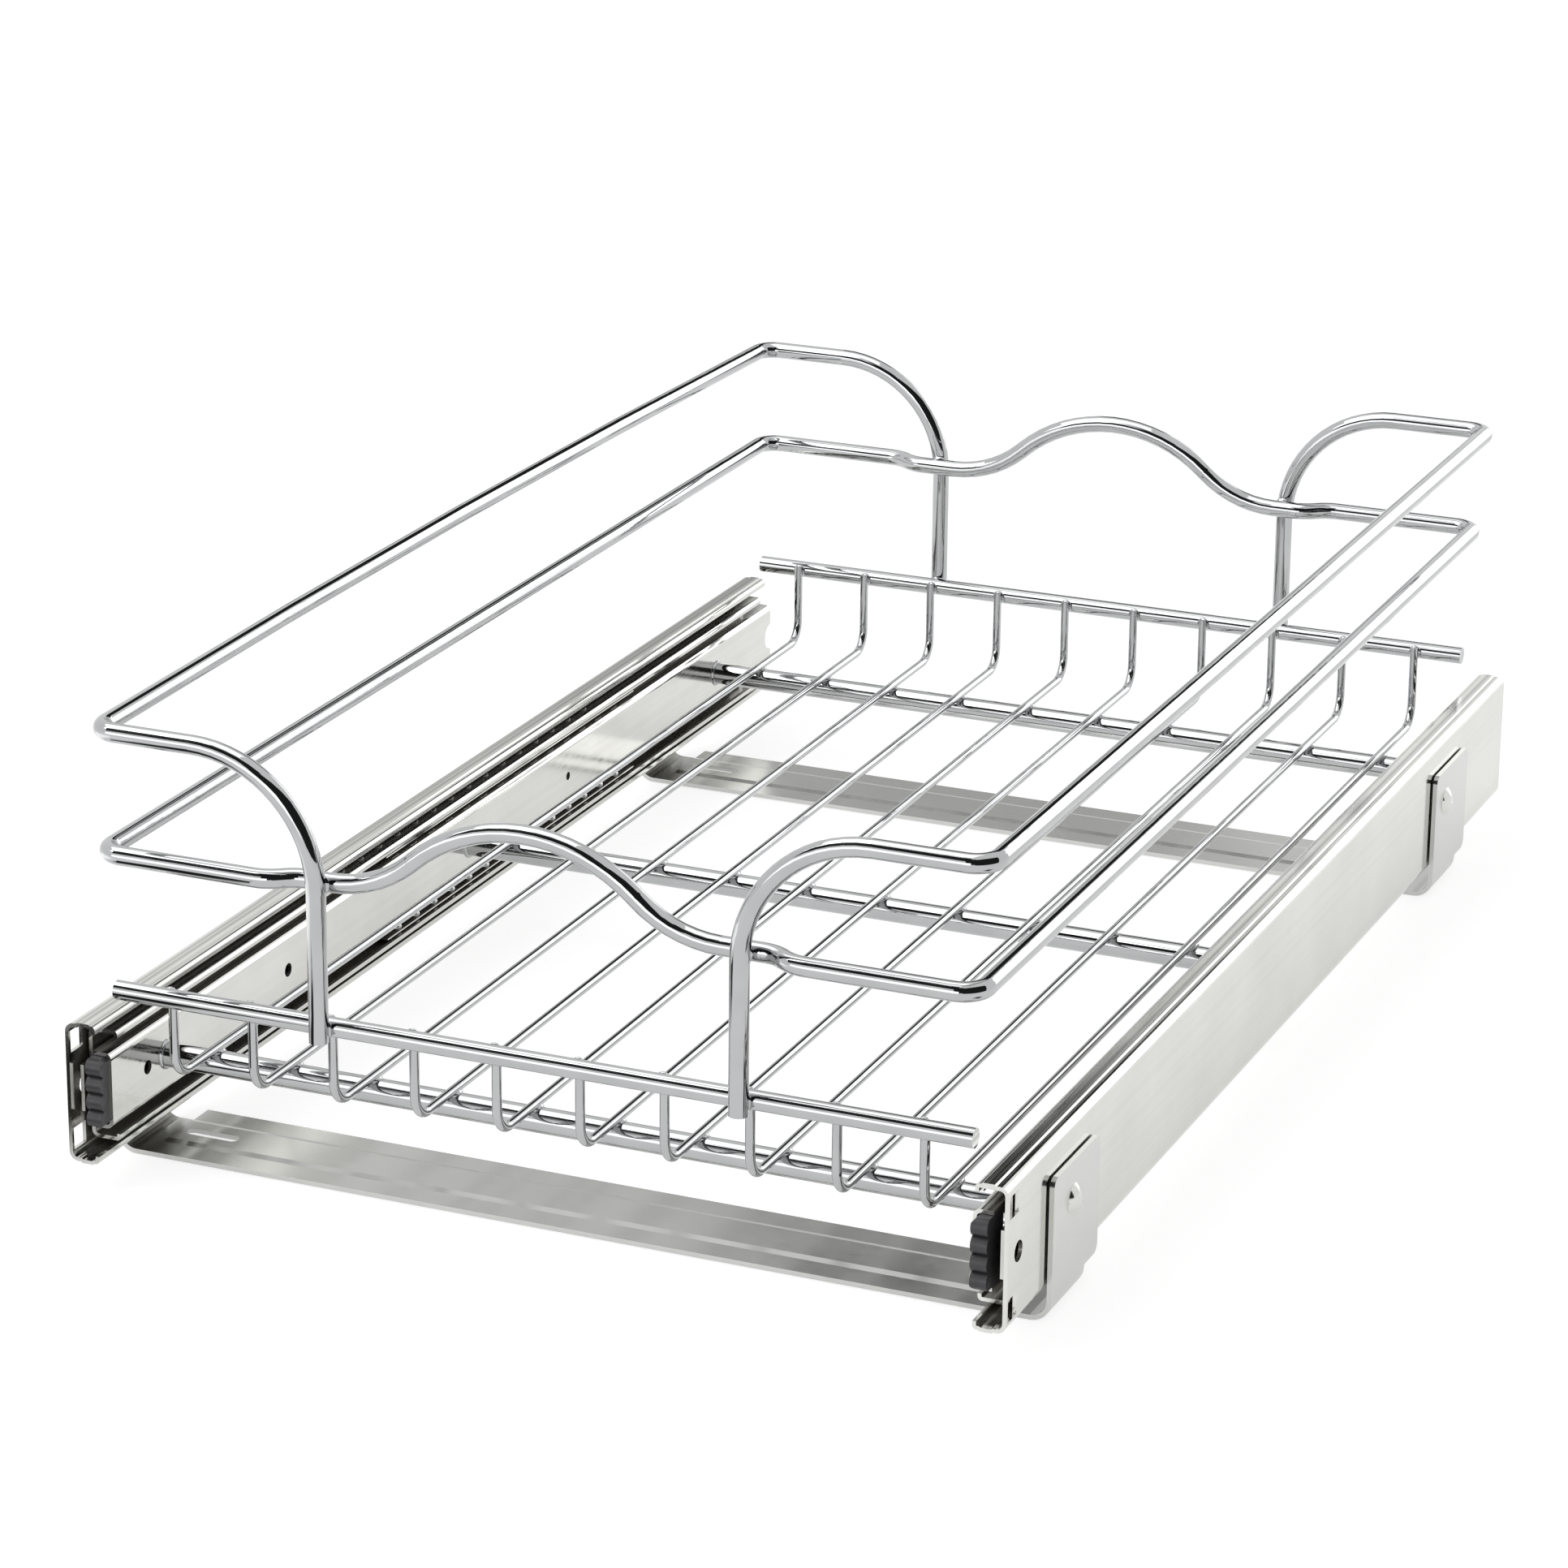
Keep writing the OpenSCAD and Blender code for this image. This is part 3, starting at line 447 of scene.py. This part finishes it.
def add_card(name, centre, facing, width, height, level, rim):
    """A flat panel that faces a point, seen only in reflections; with a rim its edges are soft."""
    centre, facing = Vector(centre), Vector(facing)
    card = bpy.data.objects.new(name, flat_mesh(name, width / 2, height / 2))
    turn = (facing - centre).to_track_quat("Z", "Y").to_matrix().to_4x4()
    card.matrix_world = Matrix.Translation(centre) @ turn
    bpy.context.scene.collection.objects.link(card)
    card.data.materials.append(card_material(name, level, rim))
    card.visible_camera = False
    card.visible_diffuse = False
    card.visible_shadow = False


def add_floor():
    """A white floor that keeps the object's shadow; in reflections its glow is darkened beside the object, a
    painted shadow.
    """
    mesh = flat_mesh("floor", FLOOR_HALF_W, FLOOR_HALF_W, FLOOR_Z)
    floor = bpy.data.objects.new("floor", mesh)
    bpy.context.scene.collection.objects.link(floor)
    mat, tree, surface = empty_material("floor_white")
    matte = tree.nodes.new("ShaderNodeBsdfDiffuse")
    matte.inputs["Color"].default_value = FLOOR_COLOUR
    share = calculated(tree, "MULTIPLY", seen_directly(tree), FLOOR_GLOW)
    free = free_share(tree, CONTACT_REACH, samples=4)
    # Painted shadow: the glow that reflections see is darkened where the object crowds the space above the
    # floor
    painted_contact_shadow = remap(tree, free, *CONTACT_LEVELS, start=0.0, end=CONTACT_END)
    path = tree.nodes.new("ShaderNodeLightPath")
    kept = calculated(tree, "MAXIMUM", path.outputs["Is Camera Ray"], painted_contact_shadow)
    glow = tree.nodes.new("ShaderNodeEmission")
    tree.links.new(calculated(tree, "MULTIPLY", share, kept), glow.inputs["Strength"])
    both = tree.nodes.new("ShaderNodeAddShader")
    tree.links.new(matte.outputs["BSDF"], both.inputs[0])
    tree.links.new(glow.outputs["Emission"], both.inputs[1])
    tree.links.new(both.outputs["Shader"], surface)
    mesh.materials.append(mat)


def add_lamp(name, at, target, size, power):
    data = bpy.data.lights.new(name, "AREA")
    data.shape = "SQUARE"
    data.size = size
    data.energy = power
    lamp = bpy.data.objects.new(name, data)
    lamp.location = at
    lamp.rotation_euler = (Vector(target) - Vector(at)).to_track_quat("-Z", "Y").to_euler()
    bpy.context.scene.collection.objects.link(lamp)


# Weld beads: small flattened blobs where two rods cross, and a ring round each cross bar's end
def blob(verts, faces, centre, radii):
    first = len(verts)
    shift = BLOB_SHIFT[0] * centre[0] + BLOB_SHIFT[1] * centre[1]
    for row in range(1, BLOB_ROWS):
        slope = math.pi * row / BLOB_ROWS
        for turn in range(BLOB_TURNS):
            angle = 2 * math.pi * turn / BLOB_TURNS
            uneven = 1.0 + BLOB_UNEVEN * math.sin(BLOB_LOBES * angle + shift)
            verts.append((
                centre[0] + radii[0] * uneven * math.sin(slope) * math.cos(angle),
                centre[1] + radii[1] * uneven * math.sin(slope) * math.sin(angle),
                centre[2] + radii[2] * math.cos(slope),
            ))
    top = len(verts)
    verts.append((centre[0], centre[1], centre[2] + radii[2]))
    bottom = len(verts)
    verts.append((centre[0], centre[1], centre[2] - radii[2]))
    last = first + (BLOB_ROWS - 2) * BLOB_TURNS
    for turn in range(BLOB_TURNS):
        after = (turn + 1) % BLOB_TURNS
        faces.append((top, first + turn, first + after))
        for row in range(BLOB_ROWS - 2):
            upper = first + row * BLOB_TURNS
            lower = upper + BLOB_TURNS
            faces.append((upper + turn, lower + turn, lower + after, upper + after))
        faces.append((bottom, last + after, last + turn))


def ring(verts, faces, centre, radius):
    first = len(verts)
    for turn in range(RING_TURNS):
        angle = 2 * math.pi * turn / RING_TURNS
        out = radius * (1.0 + RING_UNEVEN * math.sin(RING_LOBES * angle))
        for side in range(RING_SIDES):
            around = 2 * math.pi * side / RING_SIDES
            r = out + RING_THICKNESS * math.cos(around)
            verts.append((
                centre[0] + RING_THICKNESS * math.sin(around),
                centre[1] + r * math.cos(angle),
                centre[2] + r * math.sin(angle),
            ))
    for turn in range(RING_TURNS):
        after = (turn + 1) % RING_TURNS
        for side in range(RING_SIDES):
            beside = (side + 1) % RING_SIDES
            faces.append((
                first + turn * RING_SIDES + side,
                first + after * RING_SIDES + side,
                first + after * RING_SIDES + beside,
                first + turn * RING_SIDES + beside,
            ))


def weld_beads():
    verts, faces = [], []
    wires_x = [(i - (WIRE_COUNT - 1) / 2) * WIRE_PITCH for i in range(WIRE_COUNT)]
    for x in wires_x:
        for y in CROSS_BARS_Y:
            blob(verts, faces, (x, y, CROSS_BAR_Z + CROSS_BAR_R - WIRE_BEAD_SINK), WIRE_BEAD)
        for y, way in zip(TOP_BARS_Y, (1, -1)):
            blob(verts, faces, (x, y + way * RAIL_R, TOP_BAR_Z), WIRE_END_BEAD)
    for x in (-POST_X, POST_X):
        for y, z, way in zip(TOP_BARS_Y, WAVE_Z, (1, -1)):
            blob(verts, faces, (x, y - way * (RAIL_R - POST_BEAD_SINK), TOP_BAR_Z), POST_BEAD)
            post_y = y - way * POST_OUT
            blob(verts, faces, (x, post_y + way * WAVE_INSET / 2, z), WAVE_BEAD)
    for x in (-BAR_END_X, BAR_END_X):
        for y in CROSS_BARS_Y:
            ring(verts, faces, (x, y, CROSS_BAR_Z), CROSS_BAR_R + RING_STAND_OFF)
    mesh = bpy.data.meshes.new("weld_beads")
    mesh.from_pydata(verts, [], faces)
    mesh.update()
    for face in mesh.polygons:
        face.use_smooth = True
    beads = bpy.data.objects.new("weld_beads", mesh)
    bpy.context.scene.collection.objects.link(beads)
    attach(beads, "basket")
    return beads


def dress(names, material):
    for name in names:
        obj = nodes[name]
        obj.data.materials.clear()
        obj.data.materials.append(material)


add_camera()
add_world()
add_floor()
add_lamp("key", KEY_AT, KEY_TARGET, KEY_SIZE, KEY_POWER)
for card in CARDS:
    add_card(*card)

by_slot = {}
for part in frame["record"]["subparts"]:
    by_slot.setdefault(part["material_slot"], []).append(part["node"])
chrome = chrome_material()
weld_beads().data.materials.append(chrome)
dress(by_slot["chrome"], chrome)
dress(by_slot["zinc"], zinc_material())
dress(by_slot["galvanised"], galvanised_material())
dress(by_slot["dark_plastic"], plastic_material())
dress(by_slot["ball_steel"], ball_material())

bpy.context.scene.view_settings.view_transform = "Standard"
